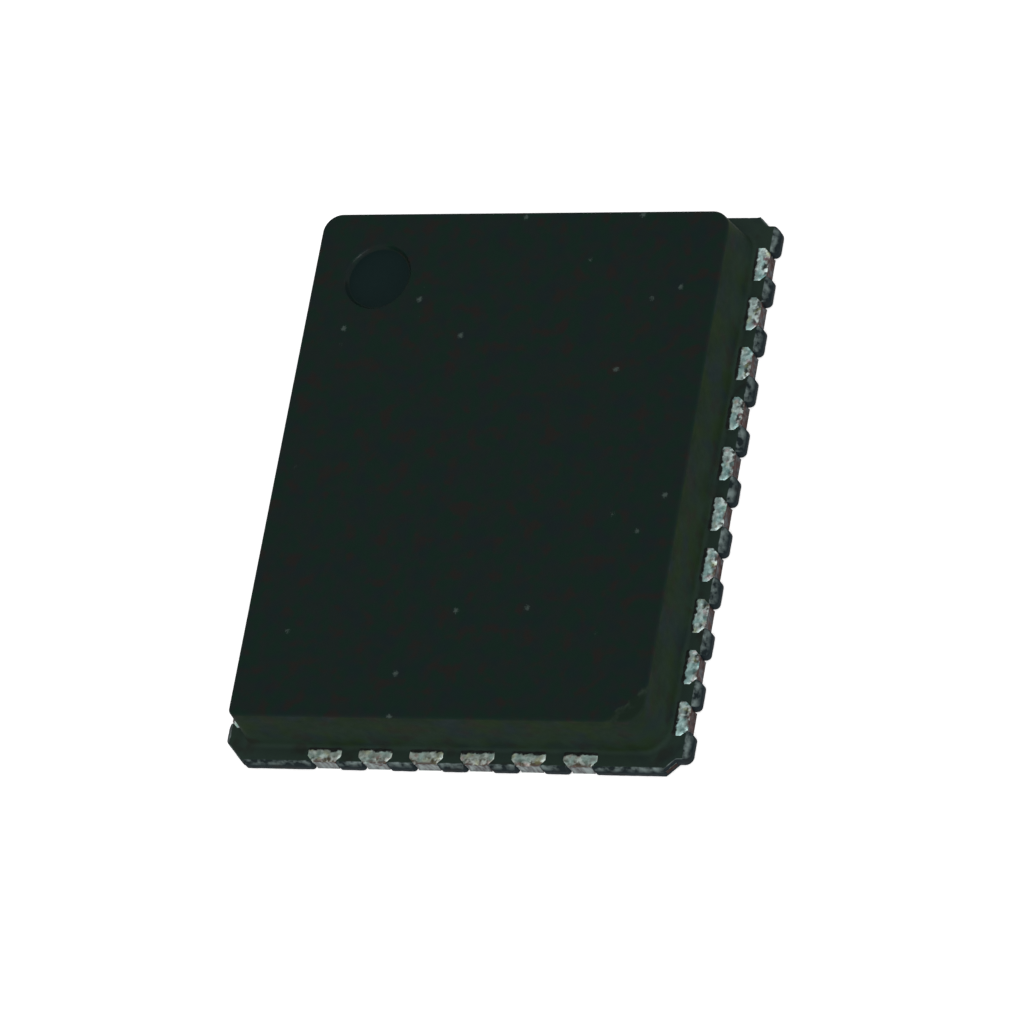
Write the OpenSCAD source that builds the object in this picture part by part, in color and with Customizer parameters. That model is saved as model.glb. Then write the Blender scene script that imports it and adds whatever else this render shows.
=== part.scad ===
// Leadless radio transceiver package: a punched leadframe in a moulded resin body.
// Millimetres. The origin is the middle of the solder plane, +Y runs along the long sides, +Z is up.

/* [Leads] */
// Distance between the centres of neighbouring leads
lead_pitch = 0.65; // [0.58:0.01:0.8]
// Number of leads along each long side
leads_long = 10; // [8:1:12]
// Number of leads along each short side
leads_short = 6; // [5:1:8]
// From the last lead of a long side to the plane of the short side's lead ends
long_row_margin = 0.635; // [0.6:0.005:0.9]
// From the last lead of a short side to the plane of the long side's lead ends
short_row_margin = 1.275; // [1.2:0.005:1.6]
// Thickness of the copper leadframe
frame_t = 0.2; // [0.15:0.01:0.25]
// Depth etched away from below, under the lead's shoulders and the paddle's rim
etch_depth = 0.1; // [0.06:0.01:0.12]
// Width of a lead's top face
lead_top_w = 0.43; // [0.34:0.01:0.46]
// Width of a lead's solder land and of its cut end
land_w = 0.28; // [0.2:0.01:0.32]
// Length of a solder land, from the cut end inward
land_l = 0.5; // [0.4:0.01:0.6]
// Length over which a lead's top narrows to its cut end
shoulder_l = 0.08; // [0.04:0.01:0.12]
// Reach of the half-etched finger past the inner end of the land
finger_l = 0.1; // [0.05:0.01:0.15]

/* [Moulded body] */
// Height of the package above the solder plane
body_h = 0.92; // [0.85:0.01:1.2]
// From the lead ends in to the foot of the cap
flange_ledge = 0.215; // [0.18:0.005:0.3]
// How far each side of the cap leans in between its foot and its top
side_run = 0.065; // [0.03:0.005:0.1]
// Radius at the foot of three of the cap's upright corners
corner_r = 0.3; // [0.2:0.01:0.4]
// Radius at the foot of the cap's front left corner, which is sharper
front_left_r = 0.15; // [0.12:0.01:0.2]
// Rounding of the cap's top edge
top_edge_r = 0.035; // [0.02:0.005:0.06]
// Hollow rounding between the cap's foot and the flange
foot_fillet_r = 0.065; // [0.03:0.005:0.1]
// Cut at each corner of the flange, measured along a side
flange_chamfer = 0.3; // [0.2:0.01:0.34]
// From the short sides' web faces to the round ends of the right side's corner webs
corner_web_end = 0.15; // [0.13:0.01:0.2]
// Rounding of those ends, seen from above
corner_web_r = 0.1; // [0.05:0.01:0.12]
// How far the resin webs of the long sides stand out past the lead ends
web_proud_long = 0.07; // [0.02:0.005:0.09]
// How far the resin webs of the short sides stand out past the lead ends
web_proud_short = 0.025; // [0.015:0.005:0.09]
// Height of the upright foot of a web, below its sloping face
web_foot_h = 0.11; // [0.06:0.01:0.14]
// Rounding of the webs' corners, seen from above
web_corner_r = 0.05; // [0.02:0.005:0.07]
// Resin that shows on each side of a lead end, within the notch between two webs
notch_side = 0.02; // [0.01:0.005:0.04]
// How far the lands and the pad stand below the resin's underside
standoff = 0.02; // [0.01:0.005:0.04]

/* [Pin one dimple] */
// Diameter of the dimple at the top face
dimple_d = 0.86; // [0.4:0.02:1]
// Depth of the dimple
dimple_depth = 0.06; // [0.03:0.01:0.1]
// From the dimple's centre to the two nearest edges of the top face
dimple_inset = 0.84; // [0.6:0.01:1.1]
// Narrowing of the dimple from its rim to its floor, on the radius
dimple_lean = 0.04; // [0.01:0.01:0.08]

/* [Die paddle] */
// Gap between the leads' fingers and the paddle's rim
paddle_gap = 0.3; // [0.2:0.01:0.4]
// Width of the half-etched rim around the exposed pad
paddle_rim = 0.12; // [0.06:0.01:0.2]
// Cut at the exposed pad's corner next to lead one
paddle_key = 0.35; // [0.2:0.05:0.6]
// Width of the tie bars that run to the corners
tie_w = 0.16; // [0.1:0.01:0.18]
// Thickness of the tie bars, which are etched evenly from both faces
tie_t = 0.06; // [0.04:0.01:0.12]

/* [Die and wires] */
// Width of the silicon die
die_w = 2.3; // [1.6:0.05:2.8]
// Length of the silicon die
die_l = 3.3; // [2.4:0.05:4]
// Thickness of the silicon die
die_t = 0.28; // [0.15:0.01:0.3]
// Thickness of the adhesive under the die
attach_t = 0.02; // [0.01:0.005:0.04]
// Spread of the adhesive past the die's edge
attach_spread = 0.08; // [0.04:0.01:0.15]
// Diameter of a bond wire
wire_d = 0.03; // [0.02:0.005:0.04]
// Height of a wire's upright rise above the die
wire_rise = 0.08; // [0.05:0.01:0.12]
// Radius of the bend at the top of a wire, along its axis
wire_bend_r = 0.05; // [0.03:0.005:0.07]
// Diameter of the ball bond on the die
ball_d = 0.08; // [0.06:0.005:0.1]
// Height of the ball bond
ball_h = 0.03; // [0.02:0.005:0.04]
// Diameter of the bond on the lead
stitch_d = 0.09; // [0.07:0.005:0.12]
// Height of the bond on the lead
stitch_h = 0.04; // [0.04:0.005:0.06]
// From the die's edge to the row of ball bonds
bond_edge = 0.09; // [0.06:0.01:0.15]
// From the die's corner to the first ball bond of a side
bond_corner = 0.25; // [0.2:0.01:0.4]

/* [Hidden] */
$fn = 64;
// A cutter's overrun past the face that it cuts
slack = 0.1;
// Straight steps in a quarter turn of a small rounding
arc_steps = 4;
// How far the straight runs of a wire end inside its bend
wire_lap = 0.005;
// How much thicker the bend of a wire is than its straight runs
bend_swell = 0.002;

lead_span_w = (leads_short - 1) * lead_pitch + 2 * short_row_margin;
lead_span_l = (leads_long - 1) * lead_pitch + 2 * long_row_margin;
finger_end = land_l + finger_l;
etched_t = frame_t - etch_depth;

// Sides in the order of the lead numbers: left, front, right, rear, anticlockwise from above
SIDES = ["left", "front", "right", "rear"];
side_turn = [180, 270, 0, 90];
side_leads = [leads_long, leads_short, leads_long, leads_short];
side_reach = [lead_span_w / 2, lead_span_l / 2, lead_span_w / 2, lead_span_l / 2];
side_proud = [web_proud_long, web_proud_short, web_proud_long, web_proud_short];
lead_count = 2 * (leads_long + leads_short);

cap_w = lead_span_w - 2 * flange_ledge;
cap_l = lead_span_l - 2 * flange_ledge;
cap_radii = [corner_r, corner_r, front_left_r, corner_r];
top_w = cap_w - 2 * side_run;
top_l = cap_l - 2 * side_run;
flange_w = lead_span_w + 2 * web_proud_long;
flange_l = lead_span_l + 2 * web_proud_short;
notch_w = land_w + 2 * notch_side;

rim_w = lead_span_w - 2 * (finger_end + paddle_gap);
rim_l = lead_span_l - 2 * (finger_end + paddle_gap);
pad_w = rim_w - 2 * paddle_rim;
pad_l = rim_l - 2 * paddle_rim;

// A tie bar runs up the middle of the space between the corner leads, then out to the flange's cut corner, where
// it ends between the short side and the corner web
tie_x = ((leads_short - 1) * lead_pitch / 2 + lead_top_w / 2 + lead_span_w / 2 - finger_end) / 2;
tie_y = ((leads_long - 1) * lead_pitch / 2 + lead_top_w / 2 + lead_span_l / 2) / 2;
cut_x = flange_w / 2 - flange_chamfer + corner_web_end / 2;
cut_y = flange_l / 2 - corner_web_end / 2;
tie_z = (frame_t - tie_t) / 2;

die_z = frame_t + attach_t;
bond_z = die_z + die_t;

function two_digits(i) = i < 10 ? str("0", i) : str(i);
function lead_name(i) = str("lead_", two_digits(i));
function wires_name(side) = str("bond_wires_", SIDES[side]);
function leads_before(side) = side == 0 ? 0 : leads_before(side - 1) + side_leads[side - 1];
function side_of(i) = len([for (s = [1 : 3]) if (i > leads_before(s)) s]);
function row_place(n, gap, k) = (k - (n - 1) / 2) * gap;

// Place along its side of lead number i
function lead_along(i) =
    let (s = side_of(i))
    row_place(side_leads[s], lead_pitch, i - leads_before(s) - 1);

// Points of a quarter circle from angle a, anticlockwise for a positive turn
function quarter(c, r, a, turn = 90) =
    [for (i = [0 : arc_steps]) c + r * [cos(a + turn * i / arc_steps), sin(a + turn * i / arc_steps)]];

// Puts a lead's own frame in place: its cut end at the origin, the outside along +X
module at_lead(i) {
    s = side_of(i);
    rotate([0, 0, side_turn[s]])
        translate([side_reach[s], lead_along(i), 0])
            children();
}

// Sweeps a section around a rectangle with round corners, whose radii run anticlockwise from the rear right one.
// The section is drawn outward from an axis that lies $inset within the rectangle's edge.
module swept_slab(w, l, radii, z, h) {
    $inset = max(radii);
    translate([$inset - w / 2, $inset - l / 2, z])
        cube([w - 2 * $inset, l - 2 * $inset, h]);
    for (turn = [0 : 3]) {
        half = (turn % 2 == 0 ? [w, l] : [l, w]) / 2;
        before = radii[(turn + 3) % 4];
        after = radii[turn];
        rotate([0, 0, 90 * turn]) {
            translate([half.x - $inset, half.y - after, 0])
                rotate([90, 0, 0])
                    linear_extrude(2 * half.y - before - after)
                        children();
            translate([half.x - after, half.y - after, 0])
                rotate_extrude(angle = 90)
                    let ($inset = after)
                        children();
        }
    }
}

// Rectangle with its corners cut at 45 degrees
module cut_rectangle(w, l, cut) {
    x = w / 2;
    y = l / 2;
    polygon([
        [x, cut - y], [x, y - cut], [x - cut, y], [cut - x, y],
        [-x, y - cut], [-x, cut - y], [cut - x, -y], [x - cut, -y]
    ]);
}

// Strip of even width along a path, with round joints
module strip(path, w) {
    for (i = [0 : len(path) - 2]) {
        d = path[i + 1] - path[i];
        translate(path[i])
            rotate(atan2(d.y, d.x))
                translate([0, -w / 2])
                    square([norm(d), w]);
    }
    for (i = [1 : len(path) - 2])
        translate(path[i])
            circle(d = w);
}

// Half section of the cap: a root within the flange, the hollow foot, the leaning side and the rounded top edge
module cap_profile() {
    lean = atan(side_run / (body_h - frame_t));
    edge_z = body_h - top_edge_r;
    edge_x = $inset - (edge_z - frame_t) * tan(lean) - top_edge_r / cos(lean);
    foot_z = frame_t + foot_fillet_r;
    foot_x = $inset - foot_fillet_r * tan(lean) + foot_fillet_r / cos(lean);
    polygon(concat(
        [[0, standoff], [foot_x, standoff]],
        quarter([foot_x, foot_z], foot_fillet_r, 270, lean - 90),
        quarter([edge_x, edge_z], top_edge_r, lean, 90 - lean),
        [[0, body_h]]
    ));
}

// Plan of the notch in front of a lead end, with the webs' rounded corners on both sides
module notch_plan(proud) {
    r = min(web_corner_r, proud);
    polygon(concat(
        [[-slack, notch_w / 2], [-slack, -notch_w / 2]],
        quarter([proud - r, -notch_w / 2 - r], r, 90, -90),
        [[proud + slack, -notch_w / 2 - r], [proud + slack, notch_w / 2 + r]],
        quarter([proud - r, notch_w / 2 + r], r, 0, -90)
    ));
}

// Plan of the right side's strip, whose round ends stand out past the cut corners
module corner_webs() {
    x = flange_w / 2 - corner_web_r;
    y = flange_l / 2 - corner_web_end - corner_web_r;
    polygon(concat(
        [[0, -y - corner_web_r]],
        quarter([x, -y], corner_web_r, 270),
        quarter([x, y], corner_web_r, 0),
        [[0, y + corner_web_r]]
    ));
}

// Outline that the punch left: webs with a notch at each lead, and cut corners
module punched_outline() {
    cut_rectangle(lead_span_w, lead_span_l, flange_chamfer);
    difference() {
        union() {
            cut_rectangle(flange_w, flange_l, flange_chamfer);
            corner_webs();
        }
        for (i = [1 : lead_count])
            at_lead(i)
                notch_plan(side_proud[side_of(i)]);
    }
}

// What the webs lack above their sloping face, along one side
module web_slope(side) {
    proud = side_proud[side];
    length = flange_w + flange_l;
    rotate([0, 0, side_turn[side]])
        translate([side_reach[side], 0, 0])
            rotate([90, 0, 0])
                linear_extrude(length, center = true)
                    polygon([
                        [0, frame_t], [proud, web_foot_h], [proud + slack, web_foot_h],
                        [proud + slack, frame_t + slack], [0, frame_t + slack]
                    ]);
}

module flange() {
    difference() {
        translate([0, 0, standoff])
            linear_extrude(frame_t - standoff)
                punched_outline();
        for (side = [0 : 3])
            web_slope(side);
    }
}

module dimple() {
    overrun = slack * dimple_lean / dimple_depth;
    translate([dimple_inset - top_w / 2, top_l / 2 - dimple_inset, body_h - dimple_depth])
        cylinder(
            h = dimple_depth + slack,
            r1 = dimple_d / 2 - dimple_lean,
            r2 = dimple_d / 2 + overrun
        );
}

// Resin cap and flange in one moulding, around everything that it seals in
module mould_body() {
    color("#1e2623")
        difference() {
            union() {
                swept_slab(cap_w, cap_l, cap_radii, standoff, body_h - standoff)
                    cap_profile();
                flange();
            }
            dimple();
            die_paddle();
            die_attach();
            silicon_die();
            for (i = [1 : lead_count]) {
                lead(i);
                bond_wire(i);
            }
        }
}

// One lead: a land of full thickness with a round inner end, under a wider half-etched top
module lead(i) {
    half = lead_top_w / 2;
    color("#b4b6b8")
        at_lead(i) {
            translate([land_w / 2 - land_l, -land_w / 2, 0])
                cube([land_l - land_w / 2, land_w, frame_t]);
            translate([land_w / 2 - land_l, 0, 0])
                rotate([0, 0, 90])
                    rotate_extrude(angle = 180)
                        square([land_w / 2, frame_t]);
            translate([0, 0, etch_depth])
                linear_extrude(etched_t)
                    polygon([
                        [0, -land_w / 2], [0, land_w / 2], [-shoulder_l, half],
                        [-finger_end, half], [-finger_end, -half], [-shoulder_l, -half]
                    ]);
        }
}

// Exposed pad with its key corner, half-etched rim and four tie bars
module die_paddle() {
    x = pad_w / 2;
    y = pad_l / 2;
    color("#b4b6b8") {
        linear_extrude(frame_t)
            polygon([[-x, -y], [x, -y], [x, y], [paddle_key - x, y], [-x, y - paddle_key]]);
        translate([0, 0, etch_depth])
            linear_extrude(etched_t)
                square([rim_w, rim_l], center = true);
        translate([0, 0, tie_z])
            linear_extrude(tie_t)
                intersection() {
                    cut_rectangle(flange_w, flange_l, flange_chamfer);
                    for (side_x = [-1, 1], side_y = [-1, 1])
                        tie_bar(side_x, side_y);
                }
    }
}

// Plan of one tie bar, from inside the pad's corner to past the flange's cut corner
module tie_bar(side_x, side_y) {
    root_x = pad_w / 2 - paddle_key;
    root_y = pad_l / 2 - paddle_key;
    path = [
        [root_x, root_y],
        [tie_x, root_y + tie_x - root_x],
        [tie_x, tie_y],
        [cut_x - (cut_y - tie_y), tie_y],
        [cut_x + slack, cut_y + slack]
    ];
    strip([for (p = path) [side_x * p.x, side_y * p.y]], tie_w);
}

// Adhesive under the die, spread a little past its edges
module die_attach() {
    radii = [for (turn = [0 : 3]) attach_spread];
    color("#8e8f8c")
        translate([0, 0, frame_t])
            swept_slab(die_w + 2 * attach_spread, die_l + 2 * attach_spread, radii, 0, attach_t)
                polygon([[0, 0], [$inset, 0], [$inset / 2, attach_t], [0, attach_t]]);
}

module silicon_die() {
    color("#5b6470")
        translate([-die_w / 2, -die_l / 2, die_z])
            cube([die_w, die_l, die_t]);
}

// Wire in an upright plane: up from the ball bond, over a round bend and straight down to the lead
module wire_run(span) {
    rise_z = bond_z + wire_rise;
    end_z = frame_t + stitch_h / 2;
    reach = norm([span - wire_bend_r, rise_z - end_z]);
    slope = atan2(rise_z - end_z, span - wire_bend_r) + asin(wire_bend_r / reach);
    fall = sqrt(reach * reach - wire_bend_r * wire_bend_r);
    translate([0, 0, bond_z])
        cylinder(h = ball_h, d = ball_d);
    translate([0, 0, bond_z + ball_h / 2])
        cylinder(h = wire_rise - ball_h / 2 + wire_lap, d = wire_d);
    translate([wire_bend_r, 0, rise_z])
        rotate([90, 0, 0])
            rotate([0, 0, 90 - slope])
                rotate_extrude(angle = 90 + slope)
                    translate([wire_bend_r, 0])
                        circle(d = wire_d + bend_swell);
    translate([span, 0, end_z])
        rotate([0, slope - 90, 0])
            cylinder(h = fall + wire_lap, d = wire_d);
    translate([span, 0, frame_t])
        cylinder(h = stitch_h, d = stitch_d);
}

// Bond wire of lead number i
module bond_wire(i) {
    s = side_of(i);
    n = side_leads[s];
    die_edge = (s % 2 == 0 ? die_w : die_l) / 2;
    die_row = s % 2 == 0 ? die_l : die_w;
    gap = (die_row - 2 * bond_corner) / (n - 1);
    start = [die_edge - bond_edge, row_place(n, gap, i - leads_before(s) - 1)];
    end = [side_reach[s] - land_l, lead_along(i)];
    run = end - start;
    rotate([0, 0, side_turn[s]])
        translate(start)
            rotate([0, 0, atan2(run.y, run.x)])
                wire_run(norm(run));
}

// Bond wires of all the leads on one side
module bond_wires(side) {
    color("#d6b14a")
        for (k = [1 : side_leads[side]])
            bond_wire(leads_before(side) + k);
}

mould_body();
die_paddle();
die_attach();
silicon_die();
for (side = [0 : 3])
    bond_wires(side);
for (i = [1 : lead_count])
    lead(i);
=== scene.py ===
import math

import bmesh
import bpy
from mathutils import Matrix, Vector, noise


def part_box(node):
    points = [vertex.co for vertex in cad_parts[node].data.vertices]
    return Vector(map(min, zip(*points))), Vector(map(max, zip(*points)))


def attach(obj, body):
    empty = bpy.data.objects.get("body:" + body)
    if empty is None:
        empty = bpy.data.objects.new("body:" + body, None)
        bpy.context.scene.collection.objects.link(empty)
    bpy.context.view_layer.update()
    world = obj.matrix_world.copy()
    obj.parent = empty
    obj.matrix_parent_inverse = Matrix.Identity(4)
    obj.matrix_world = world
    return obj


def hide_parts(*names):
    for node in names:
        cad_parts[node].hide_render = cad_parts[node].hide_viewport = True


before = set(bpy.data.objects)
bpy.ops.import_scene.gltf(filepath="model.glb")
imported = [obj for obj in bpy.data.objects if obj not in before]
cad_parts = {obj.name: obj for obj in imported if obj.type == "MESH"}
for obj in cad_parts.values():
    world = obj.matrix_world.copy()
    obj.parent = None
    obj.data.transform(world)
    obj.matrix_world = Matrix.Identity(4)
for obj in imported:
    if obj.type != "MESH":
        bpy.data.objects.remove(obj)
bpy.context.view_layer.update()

# Lengths are in millimetres until a mesh is finished
MM = 0.001


def box_mm(node):
    """Lowest and highest corner of a CAD node in millimetres."""
    lo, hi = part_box(node)
    return Vector(lo) / MM, Vector(hi) / MM


# Names and sizes that the frame gives
LEADS = sorted(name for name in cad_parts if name.startswith("lead_"))
WIRES = sorted(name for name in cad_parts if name.startswith("bond_wires_"))
BODY_LO, BODY_HI = box_mm("mould_body")
UNDERSIDE = BODY_LO.z
BODY_H = BODY_HI.z
FRAME_T = max(box_mm(name)[1].z for name in LEADS)
REACH_X = max(box_mm(name)[1].x for name in LEADS)
REACH_Y = max(box_mm(name)[1].y for name in LEADS)
PROUD_X = BODY_HI.x - REACH_X
PROUD_Y = BODY_HI.y - REACH_Y

# Sizes of the moulding that its box doesn't give
FLANGE_LEDGE = 0.215
SIDE_RUN = 0.065
CORNER_R = 0.3
FRONT_LEFT_R = 0.15
TOP_EDGE_R = 0.035
FOOT_FILLET_R = 0.065
FLANGE_CHAMFER = 0.3
CORNER_WEB_END = 0.15
CORNER_WEB_R = 0.1
WEB_FOOT_H = 0.11
WEB_CORNER_R = 0.065
DIMPLE_D = 0.86
DIMPLE_DEPTH = 0.06
DIMPLE_INSET = 0.84
DIMPLE_LEAN = 0.04

# Sizes of a lead
LAND_W = 0.28
LAND_L = 0.5
ETCH_DEPTH = 0.1
SHOULDER_L = 0.08
NOTCH_SIDE = 0.02

# Small roundings and offsets of the finished surfaces
RECESS = 0.004
NOTCH_RECESS = 0.02
NOTCH_DRAFT = 0.006
NOTCH_INNER_R = 0.008
CUT_CORNER_R = 0.035
RESIN_EDGE_R = 0.012
DIMPLE_RIM_R = 0.014
DIMPLE_FLOOR_R = 0.02
SUPPORT = 0.03
UNDER_MARGIN = 0.016
UNDER_INSET = 0.15
EDGE_R = 0.008
ROLL_R = 0.02

# How finely roundings and outlines are divided: steps, and the longest straight run of the punched outline
OUTLINE_STEPS = 6
OUTLINE_RUN = 0.025
CAP_STEPS = 8
RESIN_EDGE_STEPS = 3
DIMPLE_STEPS = 5
DIMPLE_AROUND = 128
LEAD_END_STEPS = 10
LEAD_SIDE_STEPS = 12
LEAD_INNER_STEPS = 16
LAND_EDGE_STEPS = 3
ROLL_STEPS = 4

# The most of a run that a corner's rounding may take, in a section and on the punched outline
RUN_SHARE = 0.45
PUNCHED_SHARE = 0.8

# Half the angle between two runs, past which they count as straight
NEARLY_STRAIGHT = math.radians(89)

# Where extra rings lie on the dimple's wall and floor, from 0 at the outer end to 1 at the inner one
DIMPLE_WALL_RING = 0.3
DIMPLE_FLOOR_RING = 0.2

# Scales of the rings that fill a lead's land and top, and its shoulder's share of the side's points
LAND_SCALES = (0.5, 0.85)
TOP_SCALES = (0.95, 0.88, 0.8, 0.7, 0.6, 0.5, 0.4, 0.3, 0.2)
SHOULDER_SHARE = 1 / 3

# Vertices closer than this become one, and points this near a lead's end belong to its cut
RESIN_MERGE = 0.0002
LEAD_MERGE = 0.00001
AT_CUT = 0.001

# Unevenness of broken resin and of plated copper: size of a feature, and how far it stands out
TEAR_SIZE = 0.09
TEAR = 0.022
SWAY_SIZE = 0.07
SWAY = 0.008
BURR_SIZE = SWAY_SIZE / 2
BURR = 0.006

# Share of a tear that a web's foot takes, and how broken and lit the middle of its slope counts, below the
# painted highlight of 1 along its upper edge
FOOT_TEAR = 0.2
MIDDLE_TORN_AND_LIT = 0.7

# Mean and swing of the sway, and settings of the noises
SWAY_MEAN = 0.4
SWAY_SWING = 0.6
FRACTAL_INCREMENT = 1.0
LACUNARITY = 2.0
TEAR_OCTAVES = 3
SWAY_OCTAVES = 2

# The front right corner of the top, a slightly lighter tone past a ragged edge with a painted highlight
# along it: the x - y where the tone begins, the highlight's width and how ragged the edge is
CORNER_TONE_FROM = 5.42
CORNER_HIGHLIGHT_W = 0.08
CORNER_RAGGED = 0.05

# Half sizes of the cap's foot and height of the ledge round it
CAP_HALF_X = REACH_X - FLANGE_LEDGE
CAP_HALF_Y = REACH_Y - FLANGE_LEDGE
LEDGE_Z = FRAME_T - RECESS


def arc_at(before, corner, after, radius, steps, share=RUN_SHARE):
    """Points of the rounding that replaces a corner of a path, within a share of the runs beside it."""
    a = before - corner
    b = after - corner
    room = share * min(a.length, b.length)
    a.normalize()
    b.normalize()
    half = a.angle(b) / 2
    if half > NEARLY_STRAIGHT:
        return [corner.copy() for _ in range(steps + 1)]
    tangent = min(radius / math.tan(half), room)
    centre = corner + (a + b).normalized() * (tangent / math.cos(half))
    first = corner + a * tangent - centre
    last = corner + b * tangent - centre
    sweep = first.angle(last)
    points = []
    for i in range(steps + 1):
        t = i / steps
        spoke = first * math.sin((1 - t) * sweep) + last * math.sin(t * sweep)
        points.append(centre + spoke / math.sin(sweep))
    return points


def rounded_loop(corners, radii, steps, share):
    """Closed path with every corner rounded, within a share of the runs beside it."""
    points = []
    for i, corner in enumerate(corners):
        after = corners[(i + 1) % len(corners)]
        points += arc_at(corners[i - 1], corner, after, radii[i], steps, share)
    return points


def divided_loop(points, longest):
    """Closed path with extra points on its long straight runs."""
    result = []
    for i, p in enumerate(points):
        q = points[(i + 1) % len(points)]
        pieces = max(1, math.ceil((q - p).length / longest))
        result += [p.lerp(q, k / pieces) for k in range(pieces)]
    return result


def loop_normals(points):
    """Outward normals in plan of an anticlockwise closed path."""
    normals = []
    for i in range(len(points)):
        run = points[(i + 1) % len(points)] - points[i - 1]
        normals.append(Vector((run.y, -run.x, 0)).normalized())
    return normals


def turned(x, y, turn):
    """A point in plan turned by a number of right angles."""
    for _ in range(turn):
        x, y = -y, x
    return Vector((x, y, 0))


def lead_place(node):
    """Right angles from +X to the side where a lead ends, and the lead's place along that side."""
    lo, hi = box_mm(node)
    centre = (lo + hi) / 2
    size = hi - lo
    if size.x > size.y:
        turn = 0 if centre.x > 0 else 2
    else:
        turn = 1 if centre.y > 0 else 3
    return turn, turned(centre.x, centre.y, (4 - turn) % 4).y


def cut_corner(turn, face, end, rear):
    """Corner points and radii at one end of a side, where its cut begins.

    The right side, which has no turn, has a round corner web there.
    """
    sign = 1 if rear else -1
    cut = FLANGE_CHAMFER + 2 * RECESS
    if turn != 0:
        return [(face, sign * (end - cut), CUT_CORNER_R)]
    web_end = sign * (end - CORNER_WEB_END)
    path = [
        (face, web_end, CORNER_WEB_R),
        (face - cut + CORNER_WEB_END, web_end, CUT_CORNER_R),
    ]
    return path if rear else path[::-1]


def punched_outline():
    """Plan of the flange, anticlockwise: webs with a notch at each lead, and cut corners."""
    corners = []
    radii = []
    half_notch = LAND_W / 2 + NOTCH_SIDE
    for turn in range(4):
        if turn % 2 == 0:
            reach, proud, end = REACH_X, PROUD_X, BODY_HI.y
        else:
            reach, proud, end = REACH_Y, PROUD_Y, BODY_HI.x
        face = reach + proud
        notch_floor = reach - NOTCH_RECESS
        path = cut_corner(turn, face, end, rear=False)
        for along in sorted(place for side, place in map(lead_place, LEADS) if side == turn):
            path += [
                (face, along - half_notch, WEB_CORNER_R),
                (notch_floor, along - half_notch + NOTCH_DRAFT, NOTCH_INNER_R),
                (notch_floor, along + half_notch - NOTCH_DRAFT, NOTCH_INNER_R),
                (face, along + half_notch, WEB_CORNER_R),
            ]
        path += cut_corner(turn, face, end, rear=True)
        corners += [turned(x, y, turn) for x, y, _ in path]
        radii += [r for _, _, r in path]
    return divided_loop(rounded_loop(corners, radii, OUTLINE_STEPS, PUNCHED_SHARE), OUTLINE_RUN)


def drawn_in(p, half_x, half_y, z):
    """A point in plan moved into a rectangle about the origin, at a height."""
    x = max(-half_x, min(half_x, p.x))
    y = max(-half_y, min(half_y, p.y))
    return Vector((x, y, z))


def within_reach(p, inset, z):
    """A point in plan moved in from the line of the lead ends, at a height."""
    return drawn_in(p, REACH_X - inset, REACH_Y - inset, z)


def proudness(p):
    """0 within the leads' reach, rising to 1 at the webs' outer face."""
    out = max((abs(p.x) - REACH_X) / PROUD_X, (abs(p.y) - REACH_Y) / PROUD_Y, 0)
    return min(out, 1)


def tear(place):
    """Uneven loss of resin at a broken face."""
    uneven = noise.fractal(place / TEAR_SIZE, FRACTAL_INCREMENT, LACUNARITY, TEAR_OCTAVES)
    return TEAR * (1 + uneven) / 2


def cap_rings():
    """Profile of the cap from the top face to the ledge: distance out from the foot's edge, and height."""
    lean = math.atan(SIDE_RUN / (BODY_H - FRAME_T))
    edge_z = BODY_H - TOP_EDGE_R
    edge_x = -(edge_z - LEDGE_Z) * math.tan(lean) - TOP_EDGE_R / math.cos(lean)
    foot_z = LEDGE_Z + FOOT_FILLET_R
    foot_x = -FOOT_FILLET_R * math.tan(lean) + FOOT_FILLET_R / math.cos(lean)
    rings = [(edge_x - SUPPORT, BODY_H)]
    for i in range(CAP_STEPS + 1):
        a = math.pi / 2 + (lean - math.pi / 2) * i / CAP_STEPS
        rings.append((edge_x + TOP_EDGE_R * math.cos(a), edge_z + TOP_EDGE_R * math.sin(a)))
    for i in range(CAP_STEPS + 1):
        a = math.pi + lean + (math.pi / 2 - lean) * i / CAP_STEPS
        rings.append((foot_x + FOOT_FILLET_R * math.cos(a), foot_z + FOOT_FILLET_R * math.sin(a)))
    rings.append((foot_x + 2 * RECESS, LEDGE_Z))
    return rings


def flange_run(p, normal, inner):
    """Section of the flange at one point of its outline, from the ledge to the underside.

    With each point comes how broken and lit the resin is there: the sloping face is, with a painted
    highlight that peaks along the upper edge's rounding, and the upright foot isn't.
    """
    proud = proudness(p)
    loss = tear(p) * proud
    top = within_reach(p, RECESS, LEDGE_Z)
    top -= normal * max(loss, RESIN_EDGE_R)
    edge = p - normal * loss * FOOT_TEAR
    slope_z = LEDGE_Z - (LEDGE_Z - WEB_FOOT_H) * proud
    shoulder = Vector((edge.x, edge.y, min(slope_z - loss, LEDGE_Z - RESIN_EDGE_R)))
    foot = Vector((edge.x, edge.y, UNDERSIDE))
    back = foot - normal * UNDER_MARGIN
    middle = top.lerp(shoulder, 0.5)
    middle.z += loss - tear(middle) * proud
    run = []
    for i, v in enumerate(arc_at(inner, top, middle, RESIN_EDGE_R, RESIN_EDGE_STEPS)):
        run.append((v, i / RESIN_EDGE_STEPS))
    run.append((middle, MIDDLE_TORN_AND_LIT))
    run += [(v, 0.0) for v in arc_at(middle, shoulder, foot, RESIN_EDGE_R, RESIN_EDGE_STEPS)]
    run += [(v, 0.0) for v in arc_at(shoulder, foot, back, RESIN_EDGE_R, RESIN_EDGE_STEPS)]
    run.append((back, 0.0))
    return run


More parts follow.
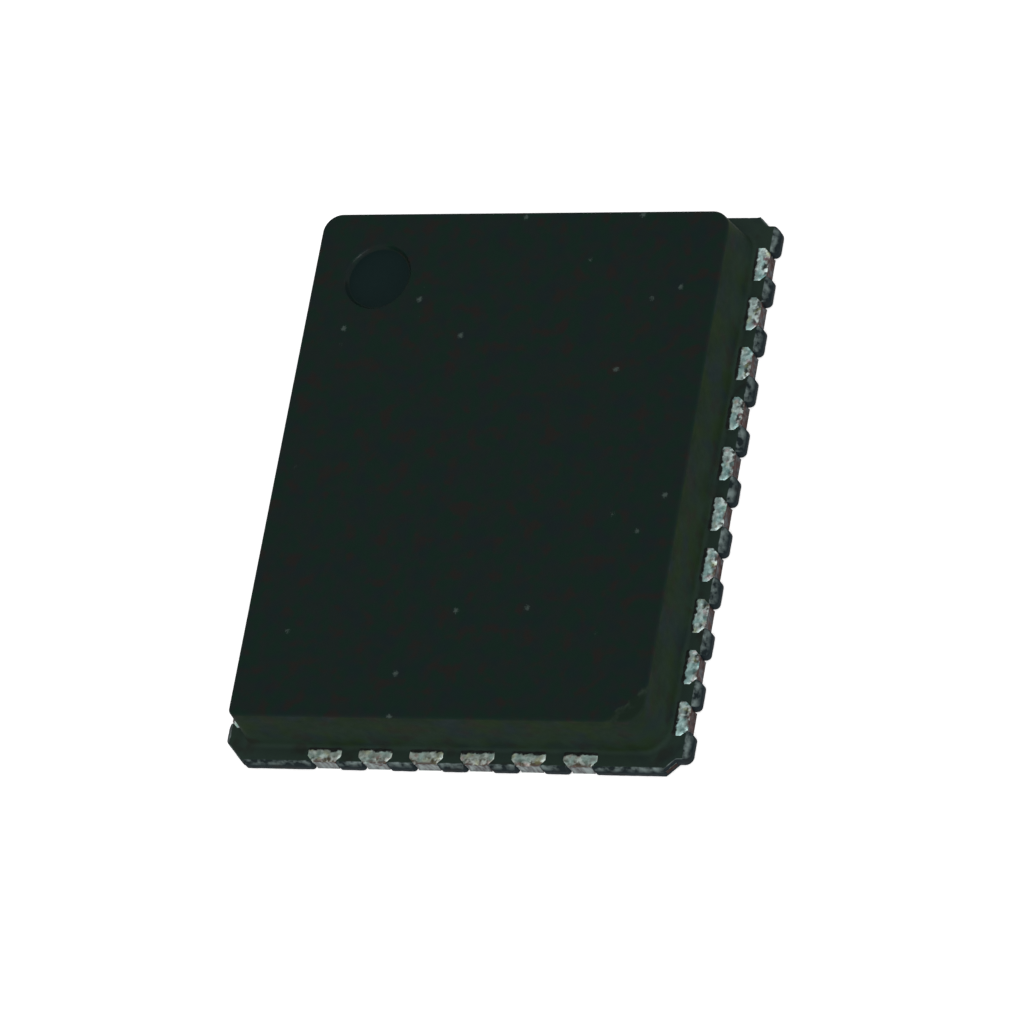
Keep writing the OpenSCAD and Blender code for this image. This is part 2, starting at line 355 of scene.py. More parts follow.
def dimple_rings():
    """Profile of the pin-one dimple from the top face down to its floor.

    A ring has its distance from the axis, its height, and 1 or 0 for glossy wall and for the floor's
    painted reflection.
    """
    rim = Vector((DIMPLE_D / 2, 0, BODY_H))
    outer = rim + Vector((SUPPORT, 0, 0))
    foot = Vector((DIMPLE_D / 2 - DIMPLE_LEAN, 0, BODY_H - DIMPLE_DEPTH))
    middle = Vector((0, 0, foot.z))
    rim_arc = arc_at(outer, rim, foot, DIMPLE_RIM_R, DIMPLE_STEPS)
    floor_arc = arc_at(rim, foot, middle, DIMPLE_FLOOR_R, DIMPLE_STEPS)
    edge = [outer] + rim_arc[:-1]
    wall = [rim_arc[-1], rim_arc[-1].lerp(floor_arc[0], DIMPLE_WALL_RING), floor_arc[0]]
    bend = floor_arc[1:-1]
    floor_part = [floor_arc[-1], foot.lerp(middle, DIMPLE_FLOOR_RING)]
    rings = []
    for points, gloss, painted_floor_reflection in ((edge, 0, 0), (wall, 1, 0), (bend, 0, 0), (floor_part, 0, 1)):
        rings += [(v.x, v.z, gloss, painted_floor_reflection) for v in points]
    return rings


def bridge(bm, rings):
    """Quads between successive closed rings of as many vertices."""
    for ring_a, ring_b in zip(rings, rings[1:]):
        for i in range(len(ring_a)):
            j = (i + 1) % len(ring_a)
            bm.faces.new((ring_a[i], ring_b[i], ring_b[j], ring_a[j]))


def loop_edges(bm, ring):
    """Edges along a closed ring of vertices."""
    return [bm.edges.get((ring[i - 1], ring[i])) for i in range(len(ring))]


def finished(bm, name, material):
    """Object of a mesh that was drawn in millimetres."""
    bmesh.ops.recalc_face_normals(bm, faces=bm.faces)
    bmesh.ops.scale(bm, vec=(MM, MM, MM), verts=bm.verts)
    for face in bm.faces:
        face.smooth = True
    mesh = bpy.data.meshes.new(name)
    bm.to_mesh(mesh)
    bm.free()
    mesh.materials.append(material)
    piece = bpy.data.objects.new(name, mesh)
    bpy.context.scene.collection.objects.link(piece)
    return piece


def resin_columns(bm, torn_and_lit_layer):
    """Columns of vertices from the top face to the underside, one for each point of the outline."""
    outline = punched_outline()
    profile = cap_rings()
    columns = []
    for p, normal in zip(outline, loop_normals(outline)):
        corner_r = FRONT_LEFT_R if p.x < 0 and p.y < 0 else CORNER_R
        axis = drawn_in(p, CAP_HALF_X - corner_r, CAP_HALF_Y - corner_r, 0)
        out = (within_reach(p, NOTCH_RECESS, 0) - axis).normalized()
        column = [(axis + out * (corner_r + r) + Vector((0, 0, z)), 0.0) for r, z in profile]
        column += flange_run(p, normal, column[-1][0])
        column.append((within_reach(p, UNDER_INSET, UNDERSIDE), 0.0))
        verts = []
        for place, torn_and_lit in column:
            v = bm.verts.new(place)
            v[torn_and_lit_layer] = torn_and_lit
            verts.append(v)
        columns.append(verts)
    return columns


def dimple_bowl(bm, layers):
    """Rings of vertices from the top face down into the pin-one dimple."""
    centre = Vector((DIMPLE_INSET + SIDE_RUN - CAP_HALF_X, CAP_HALF_Y - SIDE_RUN - DIMPLE_INSET, 0))
    bowl = []
    for r, z, gloss, painted_floor_reflection in dimple_rings():
        verts = []
        for i in range(DIMPLE_AROUND):
            a = 2 * math.pi * i / DIMPLE_AROUND
            v = bm.verts.new(centre + Vector((r * math.cos(a), r * math.sin(a), z)))
            v[layers["bowl"]] = 1.0
            v[layers["gloss"]] = gloss
            v[layers["painted_floor_reflection"]] = painted_floor_reflection
            verts.append(v)
        bowl.append(verts)
    return bowl


def resin_body(material):
    """Cap and flange in one skin, with rounded edges and the pin-one dimple."""
    bm = bmesh.new()
    layers = {name: bm.verts.layers.float.new(name) for name in ("torn_and_lit", "gloss", "bowl", "painted_floor_reflection")}
    rings = list(zip(*resin_columns(bm, layers["torn_and_lit"])))
    bridge(bm, rings)
    bm.faces.new(rings[-1])
    bowl = dimple_bowl(bm, layers)
    bridge(bm, bowl)
    bm.faces.new(bowl[-1])
    rim_edges = loop_edges(bm, rings[0]) + loop_edges(bm, bowl[0])
    bmesh.ops.triangle_fill(bm, use_beauty=True, edges=rim_edges)
    bmesh.ops.remove_doubles(bm, verts=bm.verts, dist=RESIN_MERGE)
    return finished(bm, "resin_body", material)


def lead_plans(width, length):
    """Plans of a lead's land and wider top, with as many points each, anticlockwise from the cut end."""
    half_land = LAND_W / 2
    half_top = width / 2
    straight = LAND_L - half_land
    land = []
    top = []

    def side_points(t, sign):
        """Adds a point of a long side to both plans, from the cut end at 0 to the round end at 1."""
        shoulder = min(1, t / SHOULDER_SHARE)
        rest = max(0, (t - SHOULDER_SHARE) / (1 - SHOULDER_SHARE))
        x = -SHOULDER_L * shoulder - (length - SHOULDER_L) * rest
        y = half_land + (half_top - half_land) * shoulder
        land.append(Vector((-straight * t, sign * half_land, 0)))
        top.append(Vector((x, sign * y, 0)))

    for i in range(LEAD_END_STEPS):
        p = Vector((0, half_land * (2 * i / LEAD_END_STEPS - 1), 0))
        land.append(p)
        top.append(p)
    for i in range(LEAD_SIDE_STEPS):
        side_points(i / LEAD_SIDE_STEPS, 1)
    for i in range(LEAD_INNER_STEPS):
        t = i / LEAD_INNER_STEPS
        a = math.pi / 2 + math.pi * t
        land.append(Vector((-straight + half_land * math.cos(a), half_land * math.sin(a), 0)))
        top.append(Vector((-length, half_top * (1 - 2 * t), 0)))
    for i in range(LEAD_SIDE_STEPS):
        side_points(1 - i / LEAD_SIDE_STEPS, -1)
    return land, top


def plated_lead(node, material):
    """One lead with the rolled edge of its cut end, soft plated edges and a slightly uneven top."""
    lo, hi = box_mm(node)
    size = hi - lo
    turn, along = lead_place(node)
    if turn % 2 == 0:
        reach, length, width = REACH_X, size.x, size.y
    else:
        reach, length, width = REACH_Y, size.y, size.x
    land, top = lead_plans(width, length)
    spin = Matrix.Rotation(turn * math.pi / 2, 4, "Z") @ Matrix.Translation((reach, along, 0))
    outward = turned(1, 0, turn)
    bm = bmesh.new()

    def ring(plan, scale, inset, z, sway=0.0, burr=0.0):
        """Vertices of a plan that is scaled, drawn in by an inset for each point, and set at a height."""
        middle = sum(plan, Vector()) / len(plan)
        verts = []
        for p, normal, edge in zip(plan, loop_normals(plan), inset):
            q = middle + (p - middle) * scale - normal * edge
            q.z = z
            world = spin @ q
            if abs(p.x) < EDGE_R:
                world -= outward * burr * (1 + noise.noise(world / BURR_SIZE))
            uneven = noise.fractal(world / SWAY_SIZE, FRACTAL_INCREMENT, LACUNARITY, SWAY_OCTAVES)
            world.z += sway * (SWAY_MEAN + SWAY_SWING * uneven)
            verts.append(bm.verts.new(world))
        return verts

    flat = [0.0] * len(land)
    rolled = [ROLL_R if p.x > -AT_CUT else EDGE_R for p in top]
    rings = [ring(land, scale, flat, 0.0) for scale in LAND_SCALES]
    for i in range(LAND_EDGE_STEPS + 1):
        a = math.pi / 2 * i / LAND_EDGE_STEPS
        inset = [EDGE_R * (1 - math.sin(a))] * len(land)
        rings.append(ring(land, 1, inset, EDGE_R * (1 - math.cos(a))))
    rings.append(ring(land, 1, flat, ETCH_DEPTH / 2, burr=BURR))
    rings.append(ring(land, 1, flat, ETCH_DEPTH, burr=BURR))
    rings.append(ring(top, 1, flat, ETCH_DEPTH, burr=BURR))
    rings.append(ring(top, 1, flat, (ETCH_DEPTH + FRAME_T - ROLL_R) / 2, burr=BURR))
    for i in range(ROLL_STEPS + 1):
        a = math.pi / 2 * i / ROLL_STEPS
        verts = ring(top, 1, [r * (1 - math.cos(a)) for r in rolled], FRAME_T)
        for v, r in zip(verts, rolled):
            v.co.z -= r * (1 - math.sin(a))
        rings.append(verts)
    for scale in TOP_SCALES:
        rings.append(ring(top, scale, [r * scale for r in rolled], FRAME_T, sway=SWAY))
    bridge(bm, rings)
    bm.faces.new(rings[0])
    bm.faces.new(rings[-1])
    bmesh.ops.remove_doubles(bm, verts=bm.verts, dist=LEAD_MERGE)
    return finished(bm, "plated_" + node, material)


def srgb(r, g, b):
    """Linear colour of a picture colour given from 0 to 255."""

    def linear(c):
        return ((c / 255 + 0.055) / 1.055) ** 2.4 if c > 10 else c / 255 / 12.92

    return (linear(r), linear(g), linear(b), 1.0)


# Colours of the resin
# Walls painted lighter at the foot and darker at the top, to even out the shade that falls at the foot
WALL_FOOT_PAINTED_LIGHT = srgb(31, 46, 37)
WALL_TOP = srgb(14, 30, 17)
WALL_OLIVE = srgb(24, 39, 16)
WALL_BLUE = srgb(22, 34, 38)
LEDGE_COLOUR = srgb(37, 51, 45)
WEB_FOOT_COLOUR = srgb(22, 32, 36)
TOP_GREEN = srgb(16, 35, 28)
TOP_GREY = srgb(22, 32, 30)
TOP_RED = srgb(32, 28, 26)
TOP_BLUE = srgb(18, 30, 34)
# Small light specks scattered over the top
LIGHT_SPECK = srgb(60, 72, 68)
# Slightly lighter tone of the front right corner, and the painted highlight along its edge
CORNER_TONE = srgb(22, 36, 27)
PAINTED_CORNER_HIGHLIGHT = srgb(58, 70, 62)
# Painted darker, bluer reflection on the dimple's floor, whose roughness stays that of the top
DIMPLE_FLOOR_PAINTED_REFLECTION = srgb(15, 31, 31)
BROKEN_DARK = srgb(20, 30, 32)
BROKEN_LIGHT = srgb(110, 124, 122)

# Colours of the leads
TIN_DARK = srgb(58, 69, 68)
TIN_LIGHT = srgb(238, 255, 252)
# Painted highlight on the tin near the cap's foot
TIN_PAINTED_HIGHLIGHT = srgb(222, 246, 242)
TIN_PINK = srgb(214, 168, 178)
TIN_YELLOW = srgb(206, 214, 150)
TIN_CYAN = srgb(168, 222, 220)
# Painted warm light on the tin of the short rows
TIN_PAINTED_WARM_LIGHT = srgb(148, 132, 92)
WORN_RIM = srgb(88, 76, 72)
# Painted shade along the pads' inner edge, where the cap's foot meets them
PAINTED_FOOT_SHADE = srgb(52, 56, 54)
MATTE_DARK = srgb(150, 155, 152)
MATTE_LIGHT = srgb(184, 189, 185)
# Smeared tin on the cuts: painted darker on the long sides as shade, and lighter on the short sides as a
# reflection of the floor
SMEAR_SHADED_DARK = srgb(36, 36, 40)
SMEAR_SHADED_LIGHT = srgb(74, 78, 82)
SMEAR_LIT_DARK = srgb(68, 64, 67)
SMEAR_LIT_LIGHT = srgb(130, 141, 140)

# Looks of the resin: mottling of its walls, and what gloss takes off the roughness and leaves of the relief
WALL_MOTTLING = 0.6
GLOSS_DROP = 0.57
GLOSS_RELIEF = 0.1
RESIN_SPECULAR = 0.06

# Looks of the leads: painted warm light on the short rows, extra smear on their cuts, painted lighter than
# on the long rows' cuts, and softness of a smear's edge
SHORT_ROW_PAINTED_WARMTH = 0.3
SHORT_SIDE_SMEAR_AND_LIGHT = 0.25
SMEAR_SOFTNESS = 0.1

# Z of a lead face's normal up to which it is a cut, from which it is plated, and from which it faces up
CUT_TO = 0.3
PLATED_FROM = 0.75
FACING_UP = 0.1

# Range in which a noise mostly lies, and how far the roughness of sealed pieces swings
NOISE_LOW = 0.3
NOISE_HIGH = 0.7
ROUGHNESS_SWING = 0.2

# Where the colour sockets lie on a Mix node
MIX_A = 6
MIX_B = 7
MIX_RESULT = 2


class Shader:
    """A material's node tree with short calls for what the materials share."""

    def __init__(self, name):
        self.material = bpy.data.materials.new(name)
        self.material.use_nodes = True
        self.tree = self.material.node_tree
        self.bsdf = self.tree.nodes["Principled BSDF"]
        self.place = self.tree.nodes.new("ShaderNodeTexCoord").outputs["Object"]

    def link(self, source, target):
        """Leads one socket into another."""
        self.tree.links.new(source, target)

    def grain(self, size, detail=2, place=None):
        """Noise from 0 to 1 with features of about the given size in millimetres."""
        node = self.tree.nodes.new("ShaderNodeTexNoise")
        node.inputs["Scale"].default_value = 1 / (size * MM)
        node.inputs["Detail"].default_value = detail
        self.link(place or self.place, node.inputs["Vector"])
        return node.outputs["Fac"]

    def upright(self, rise):
        """Places at which a noise's features come out taller than wide."""
        node = self.tree.nodes.new("ShaderNodeMapping")
        node.inputs["Scale"].default_value = (1, 1, 1 / rise)
        self.link(self.place, node.inputs["Vector"])
        return node.outputs["Vector"]

    def remap(self, value, low, high, to_low, to_high):
        """A value's range moved to another range, and held within it."""
        node = self.tree.nodes.new("ShaderNodeMapRange")
        for key, number in zip(("From Min", "From Max", "To Min", "To Max"), (low, high, to_low, to_high)):
            node.inputs[key].default_value = number
        self.link(value, node.inputs["Value"])
        return node.outputs["Result"]

    def patches(self, size, start, full, most=1.0, detail=2, place=None):
        """Patches of a noise: 0 where it is under start, and the most where it is over full."""
        return self.remap(self.grain(size, detail, place), start, full, 0, most)

    def fade(self, distance, start, full, most=1.0):
        """0 at one distance in millimetres, and the most at another."""
        return self.remap(distance, start * MM, full * MM, 0, most)

    def spread(self, size, low, high, detail=2):
        """Noise that is spread from a low to a high value."""
        return self.remap(self.grain(size, detail), NOISE_LOW, NOISE_HIGH, low, high)

    def ragged(self, distance, size, swing, detail=2):
        """A distance that a noise shifts by up to a swing in millimetres."""
        shift = self.spread(size, -swing * MM, swing * MM, detail)
        return self.math("ADD", distance, shift)

    def mix(self, factor, a, b):
        """Colour between a and b, each a colour or a socket."""
        node = self.tree.nodes.new("ShaderNodeMix")
        node.data_type = "RGBA"
        self.link(factor, node.inputs["Factor"])
        for socket, value in ((node.inputs[MIX_A], a), (node.inputs[MIX_B], b)):
            if isinstance(value, tuple):
                socket.default_value = value
            else:
                self.link(value, socket)
        return node.outputs[MIX_RESULT]

    def math(self, operation, a, b=0):
        """Result of an operation on numbers or sockets."""
        node = self.tree.nodes.new("ShaderNodeMath")
        node.operation = operation
        for socket, value in zip(node.inputs, (a, b)):
            if isinstance(value, (int, float)):
                socket.default_value = value
            else:
                self.link(value, socket)
        return node.outputs[0]

    def both(self, a, b):
        """Product of two factors."""
        return self.math("MULTIPLY", a, b)

    def axis(self, vector, letter):
        """One coordinate of a vector socket."""
        node = self.tree.nodes.new("ShaderNodeSeparateXYZ")
        self.link(vector, node.inputs[0])
        return node.outputs[letter]

    def attribute(self, name):
        """A number that the mesh holds at each vertex."""
        node = self.tree.nodes.new("ShaderNodeAttribute")
        node.attribute_name = name
        return node.outputs["Fac"]

    def specks(self, spacing, radius, share):
        """1 within a radius, given in spacings, of scattered points, of which only a share shows."""
        node = self.tree.nodes.new("ShaderNodeTexVoronoi")
        node.inputs["Scale"].default_value = 1 / (spacing * MM)
        self.link(self.place, node.inputs["Vector"])
        shift = self.spread(size=0.015, low=-0.06, high=0.06)
        distance = self.math("ADD", node.outputs["Distance"], shift)
        near = self.remap(distance, radius, radius / 2, 0, 1)
        chosen = self.math("LESS_THAN", self.axis(node.outputs["Color"], "X"), share)
        return self.both(near, chosen)

    def corner_tone_and_highlight(self):
        """Tone of one corner of the top: 1 past its ragged edge, and a painted highlight, broken into
        patches, along that edge.
        """
        diagonal = self.math("SUBTRACT", self.axis(self.place, "X"), self.axis(self.place, "Y"))
        edge = self.ragged(diagonal, size=0.12, swing=CORNER_RAGGED, detail=3)
        corner_full = CORNER_TONE_FROM + CORNER_HIGHLIGHT_W / 2
        begun = self.fade(edge, start=CORNER_TONE_FROM, full=corner_full)
        faded = self.fade(edge, start=CORNER_TONE_FROM + 2 * CORNER_HIGHLIGHT_W, full=corner_full)
        broken = self.patches(size=0.16, start=0.45, full=0.65, most=0.5)
        return begun, self.both(self.both(begun, faded), broken)

    def bump(self, height, depth, strength=None):
        """Fine relief of a depth in millimetres."""
        node = self.tree.nodes.new("ShaderNodeBump")
        node.inputs["Distance"].default_value = depth * MM
        if strength:
            self.link(strength, node.inputs["Strength"])
        self.link(height, node.inputs["Height"])
        self.link(node.outputs["Normal"], self.bsdf.inputs["Normal"])

    def set(self, **values):
        """Gives the shader's sockets their numbers, colours or links."""
        for key, value in values.items():
            socket = self.bsdf.inputs[key.replace("_", " ").title().replace("Ior", "IOR")]
            if isinstance(value, (int, float, tuple)):
                socket.default_value = value
            else:
                self.link(value, socket)


def resin_material():
    """Dark epoxy: mottled top with light specks, greener walls painted lighter at the foot against the
    shade there, a glossy dimple wall over a floor with a painted darker, bluer reflection, paler broken
    webs painted lightest along their upper edge, and a painted highlight on one corner of the top.
    """
    s = Shader("mould_resin")
    height = s.axis(s.place, "Z")
    on_top = s.fade(height, start=BODY_H - TOP_EDGE_R, full=BODY_H - TOP_EDGE_R / 4)
    gloss = s.attribute("gloss")

    # Painted light: the walls are lighter at the foot and darker at the top, to even out the shade at the
    # foot
    wall = s.mix(s.fade(height, start=FRAME_T, full=BODY_H), WALL_FOOT_PAINTED_LIGHT, WALL_TOP)
    wall = s.mix(s.patches(size=0.42, start=0.46, full=0.62, most=0.7), wall, WALL_OLIVE)
    wall = s.mix(s.patches(size=0.36, start=0.5, full=0.66, most=0.7), wall, WALL_BLUE)
    on_ledge = s.fade(height, start=LEDGE_Z + FOOT_FILLET_R / 2, full=LEDGE_Z, most=0.8)
    wall = s.mix(on_ledge, wall, LEDGE_COLOUR)
    wall = s.mix(s.fade(height, start=LEDGE_Z, full=LEDGE_Z - RESIN_EDGE_R), wall, WEB_FOOT_COLOUR)

    top = s.mix(s.patches(size=0.16, start=0.42, full=0.58, detail=1), TOP_GREEN, TOP_GREY)
    skin = s.mix(s.math("MAXIMUM", on_top, s.attribute("bowl")), wall, top)
    mottling = s.remap(on_top, 0, 1, WALL_MOTTLING, 1)
    reddish = s.patches(size=0.23, start=0.54, full=0.67, most=0.8)
    skin = s.mix(s.both(reddish, mottling), skin, TOP_RED)
    bluish = s.patches(size=0.31, start=0.52, full=0.66, most=0.5)
    skin = s.mix(s.both(bluish, mottling), skin, TOP_BLUE)
    skin = s.mix(s.both(s.specks(spacing=0.3, radius=0.13, share=0.2), on_top), skin, LIGHT_SPECK)
    # Painted highlight along the ragged edge of the front right corner, with a slightly lighter tone past
    # it
    corner_tone, painted_highlight = s.corner_tone_and_highlight()
    skin = s.mix(s.both(corner_tone, on_top), skin, CORNER_TONE)
    skin = s.mix(s.both(painted_highlight, on_top), skin, PAINTED_CORNER_HIGHLIGHT)
    # Painted darker, bluer reflection on the dimple's floor
    skin = s.mix(s.attribute("painted_floor_reflection"), skin, DIMPLE_FLOOR_PAINTED_REFLECTION)

    crumbs = s.patches(size=0.1, start=0.4, full=0.68, detail=3)
    broken = s.mix(crumbs, BROKEN_DARK, BROKEN_LIGHT)
    # Broken resin is paler, and its value also paints a highlight along the flange's upper edge
    s.set(base_color=s.mix(s.attribute("torn_and_lit"), skin, broken))
    rough = s.spread(size=0.1, low=0.62, high=0.74)
    s.set(roughness=s.math("SUBTRACT", rough, s.remap(gloss, 0, 1, 0, GLOSS_DROP)))
    s.set(specular_ior_level=RESIN_SPECULAR)
    s.bump(s.grain(size=0.022, detail=3), depth=0.0015, strength=s.remap(gloss, 0, 1, 1, GLOSS_RELIEF))
    return s.material


def plated_material(name, copper_dark, copper_light, smear_low):
    """Matte tin plating over copper, painted brightest near the cap's foot as a highlight, worn at the rim
    and bare where cut.

    A painted shade lies along its inner edge, and its underside is plain matte tin. Tin is smeared over the
    cut where a noise passes smear_low, and sooner on the short sides; the smear is painted lighter there as
    a reflection of the floor, and darker on the long sides as shade.
    """
    s = Shader(name)
    x_out = s.math("SUBTRACT", s.math("ABSOLUTE", s.axis(s.place, "X")), REACH_X * MM)
    y_out = s.math("SUBTRACT", s.math("ABSOLUTE", s.axis(s.place, "Y")), REACH_Y * MM)
    out = s.math("MAXIMUM", x_out, y_out)
    normal = s.tree.nodes.new("ShaderNodeNewGeometry").outputs["True Normal"]
    normal_z = s.axis(normal, "Z")
    short_side = s.math("ABSOLUTE", s.axis(normal, "Y"))

    tin = s.mix(s.patches(size=0.07, start=0.43, full=0.57, detail=3), TIN_DARK, TIN_LIGHT)
    # Painted highlight: the tin near the cap's foot is brighter
    tin = s.mix(s.fade(out, start=-0.05, full=-0.1, most=0.6), tin, TIN_PAINTED_HIGHLIGHT)
    tin = s.mix(s.patches(size=0.09, start=0.6, full=0.68, most=0.4, detail=1), tin, TIN_PINK)
    tin = s.mix(s.patches(size=0.12, start=0.58, full=0.68, most=0.4, detail=1), tin, TIN_YELLOW)
    tin = s.mix(s.patches(size=0.15, start=0.48, full=0.6, most=0.5, detail=1), tin, TIN_CYAN)
    # Painted warm light on the short rows
    short_row = s.math("GREATER_THAN", y_out, x_out)
    tin = s.mix(s.both(short_row, SHORT_ROW_PAINTED_WARMTH), tin, TIN_PAINTED_WARM_LIGHT)
    at_rim = s.fade(out, start=-0.06, full=-0.01)
    tin = s.mix(s.both(at_rim, s.patches(size=0.1, start=0.36, full=0.56, detail=3)), tin, WORN_RIM)
    # Painted shade along the pads' inner edge at the cap's foot
    painted_foot_shade = s.fade(s.ragged(out, size=0.08, swing=0.02), start=-0.137, full=-0.155)
    tin = s.mix(s.both(painted_foot_shade, s.remap(normal_z, 0, FACING_UP, 0, 1)), tin, PAINTED_FOOT_SHADE)
    matte = s.mix(s.patches(size=0.06, start=0.38, full=0.62, detail=3), MATTE_DARK, MATTE_LIGHT)
    tin = s.mix(s.remap(normal_z, 0, -FACING_UP, 0, 1), tin, matte)

    streaky = s.patches(size=0.05, start=0.34, full=0.66, detail=3, place=s.upright(rise=4))
    copper = s.mix(streaky, copper_dark, copper_light)
    # Smear painted darker on the long sides as shade and lighter on the short sides as reflected light
    smear_shaded = s.mix(streaky, SMEAR_SHADED_DARK, SMEAR_SHADED_LIGHT)
    smear_lit = s.mix(streaky, SMEAR_LIT_DARK, SMEAR_LIT_LIGHT)
    smear_tin = s.mix(short_side, smear_shaded, smear_lit)
    smear = s.math("ADD", s.grain(size=0.14, detail=3), s.both(short_side, SHORT_SIDE_SMEAR_AND_LIGHT))
    cut = s.mix(s.remap(smear, smear_low, smear_low + SMEAR_SOFTNESS, 0, 1), copper, smear_tin)

    flatness = s.math("ABSOLUTE", normal_z)
    s.set(base_color=s.mix(s.remap(flatness, CUT_TO, PLATED_FROM, 0, 1), cut, tin))
    s.set(metallic=1.0)
    s.set(roughness=s.spread(size=0.04, low=0.46, high=0.6))
    s.bump(s.grain(size=0.045, detail=3), depth=0.005)
    return s.material


def plain_material(name, low, high, size, metallic, roughness):
    """Two-tone material of a piece that the resin seals in."""
    s = Shader(name)
    s.set(base_color=s.mix(s.patches(size, start=0.35, full=0.65, detail=3), low, high))
    s.set(metallic=metallic)
    s.set(roughness=s.spread(size, roughness * (1 - ROUGHNESS_SWING), roughness * (1 + ROUGHNESS_SWING)))
    s.bump(s.grain(size / 2), depth=size / 20)
    return s.material


def dress_node(node, material):
    """Gives a CAD node that stays visible its finished material."""
    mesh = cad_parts[node].data
    mesh.materials.clear()
    mesh.materials.append(material)


# Materials
resin = resin_material()
plating = plated_material("plated_copper", srgb(31, 17, 16), srgb(66, 39, 36), smear_low=0.51)
tarnished = plated_material("tarnished_copper", srgb(30, 19, 18), srgb(56, 36, 34), smear_low=0.8)
adhesive = plain_material(
    "die_adhesive", srgb(130, 131, 128), srgb(165, 166, 160), size=0.05, metallic=0.2, roughness=0.6
)
silicon = plain_material(
    "silicon", srgb(70, 78, 90), srgb(92, 100, 112), size=0.2, metallic=0.6, roughness=0.15
)
gold = plain_material(
    "gold_wire", srgb(200, 160, 70), srgb(225, 185, 90), size=0.02, metallic=1.0, roughness=0.25
)

# Pieces
body_piece = resin_body(resin)
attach(body_piece, "root")
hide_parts("mould_body")
for lead_node in LEADS:
    lead_piece = plated_lead(lead_node, plating)
    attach(lead_piece, "root")
    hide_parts(lead_node)
dress_node("die_paddle", tarnished)
dress_node("die_attach", adhesive)
dress_node("silicon_die", silicon)
for wires_node in WIRES:
    dress_node(wires_node, gold)

# Floor, with its sizes in metres
FLOOR_HALF = 0.6
FLOOR_Z = -0.000002
FLOOR_COLOUR = (0.88, 0.88, 0.88, 1)
FLOOR_ROUGHNESS = 0.9
FLOOR_LIFT = 0.5
WHITE = (1, 1, 1, 1)


def seen_directly(tree):
    """Socket that is 1 for rays from the camera and for those that gloss or glass sends on."""
    path = tree.nodes.new("ShaderNodeLightPath")
    total = path.outputs["Is Camera Ray"]
    for name in ("Is Glossy Ray", "Is Transmission Ray"):
        node = tree.nodes.new("ShaderNodeMath")
        node.operation = "MAXIMUM"
        tree.links.new(total, node.inputs[0])
        tree.links.new(path.outputs[name], node.inputs[1])
        total = node.outputs[0]
    return total


def floor_material():
    """Pale matte floor that takes shadows and looks white where it is seen."""
    material = bpy.data.materials.new("floor")
    material.use_nodes = True
    tree = material.node_tree
    bsdf = tree.nodes["Principled BSDF"]
    bsdf.inputs["Base Color"].default_value = FLOOR_COLOUR
    bsdf.inputs["Roughness"].default_value = FLOOR_ROUGHNESS
    bsdf.inputs["Specular IOR Level"].default_value = 0.0
    bsdf.inputs["Emission Color"].default_value = WHITE
    lift = tree.nodes.new("ShaderNodeMath")
    lift.operation = "MULTIPLY"
    lift.inputs[1].default_value = FLOOR_LIFT
    tree.links.new(seen_directly(tree), lift.inputs[0])
    tree.links.new(lift.outputs[0], bsdf.inputs["Emission Strength"])
    return material


floor_mesh = bpy.data.meshes.new("floor")
floor_signs = [(-1, -1), (1, -1), (1, 1), (-1, 1)]
floor_corners = [(x * FLOOR_HALF, y * FLOOR_HALF, FLOOR_Z) for x, y in floor_signs]
floor_mesh.from_pydata(floor_corners, [], [(0, 1, 2, 3)])
floor_mesh.materials.append(floor_material())
floor = bpy.data.objects.new("floor", floor_mesh)
bpy.context.scene.collection.objects.link(floor)

# World: white low in the sky, grading to grey overhead
SKY_WHITE_TO = 0.25
SKY_GREY_FROM = 0.85
SKY_GREY = (0.45, 0.45, 0.45, 1)
SKY_STRENGTH = 1.0

world = bpy.data.worlds.new("studio")
bpy.context.scene.world = world
world.use_nodes = True
sky_tree = world.node_tree
background = sky_tree.nodes["Background"]
direction = sky_tree.nodes.new("ShaderNodeTexCoord").outputs["Generated"]
split = sky_tree.nodes.new("ShaderNodeSeparateXYZ")
sky_tree.links.new(direction, split.inputs[0])
sky = sky_tree.nodes.new("ShaderNodeValToRGB")
white_stop, grey_stop = sky.color_ramp.elements
white_stop.position = SKY_WHITE_TO
white_stop.color = WHITE
grey_stop.position = SKY_GREY_FROM
grey_stop.color = SKY_GREY
sky_tree.links.new(split.outputs["Z"], sky.inputs["Fac"])
sky_tree.links.new(sky.outputs["Color"], background.inputs["Color"])
background.inputs["Strength"].default_value = SKY_STRENGTH


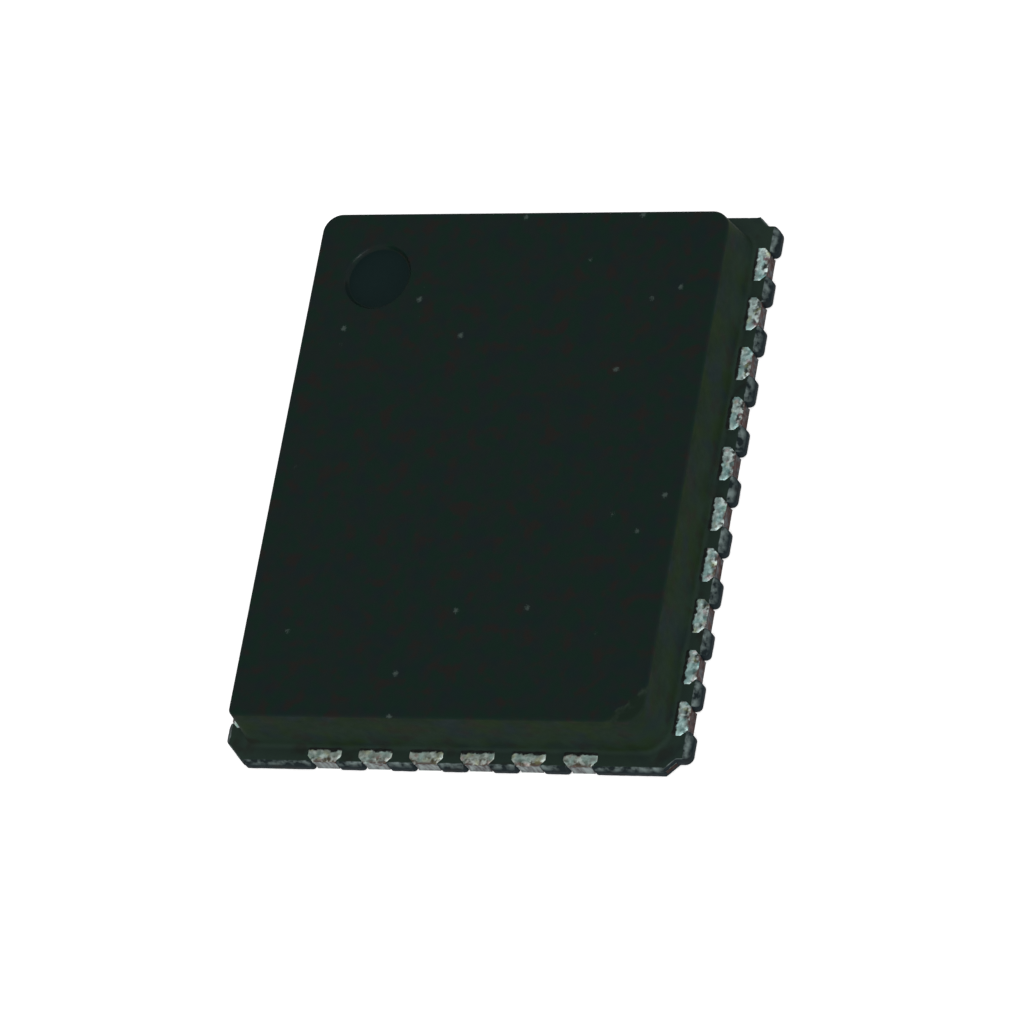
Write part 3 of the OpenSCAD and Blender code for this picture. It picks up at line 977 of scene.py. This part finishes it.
def seen_from(azimuth, elevation):
    """Direction from the object towards a place round it; azimuth 0 is towards -Y."""
    a = math.radians(azimuth)
    e = math.radians(elevation)
    return Vector((math.sin(a) * math.cos(e), -math.cos(a) * math.cos(e), math.sin(e)))


def softbox(name, azimuth, elevation, distance, width, height, watts):
    """Lamp with a large oval face that is turned to the object, with its sizes in metres."""
    lamp = bpy.data.lights.new(name, "AREA")
    lamp.shape = "ELLIPSE"
    lamp.size = width
    lamp.size_y = height
    lamp.energy = watts
    thing = bpy.data.objects.new(name, lamp)
    towards = seen_from(azimuth, elevation)
    thing.location = towards * distance
    thing.rotation_mode = "QUATERNION"
    thing.rotation_quaternion = towards.to_track_quat("Z", "Y")
    bpy.context.scene.collection.objects.link(thing)


# Lamps: the low one gives the dimple's wall its glint
softbox("key", azimuth=40, elevation=72, distance=0.5, width=0.4, height=0.4, watts=0.7)
softbox("low", azimuth=45, elevation=10.5, distance=0.5, width=0.5, height=0.05, watts=0.8)

# Camera, as in the photograph: rolled so that the short sides run level
CAMERA_AZIMUTH = 45.704
CAMERA_ELEVATION = 56.893
CAMERA_ROLL = -40.281
CAMERA_DISTANCE = 94.135
CAMERA_AIM = Vector((0.3155, -0.4355, 0.46))
CAMERA_LENS = 281.25
CAMERA_SENSOR = 36.0
CLIP_START = 0.001
CLIP_END = 10.0

back = seen_from(CAMERA_AZIMUTH, CAMERA_ELEVATION)
level_right = Vector((0, 0, 1)).cross(back).normalized()
level_up = back.cross(level_right)
roll = math.radians(CAMERA_ROLL)
right = level_right * math.cos(roll) + level_up * math.sin(roll)
up = back.cross(right)
camera_data = bpy.data.cameras.new("camera")
camera_data.lens = CAMERA_LENS
camera_data.sensor_width = CAMERA_SENSOR
camera_data.clip_start = CLIP_START
camera_data.clip_end = CLIP_END
camera = bpy.data.objects.new("camera", camera_data)
axes = Matrix((right, up, back)).transposed().to_4x4()
camera.matrix_world = Matrix.Translation((CAMERA_AIM + back * CAMERA_DISTANCE) * MM) @ axes
bpy.context.scene.collection.objects.link(camera)
bpy.context.scene.camera = camera
bpy.context.scene.view_settings.view_transform = "Standard"
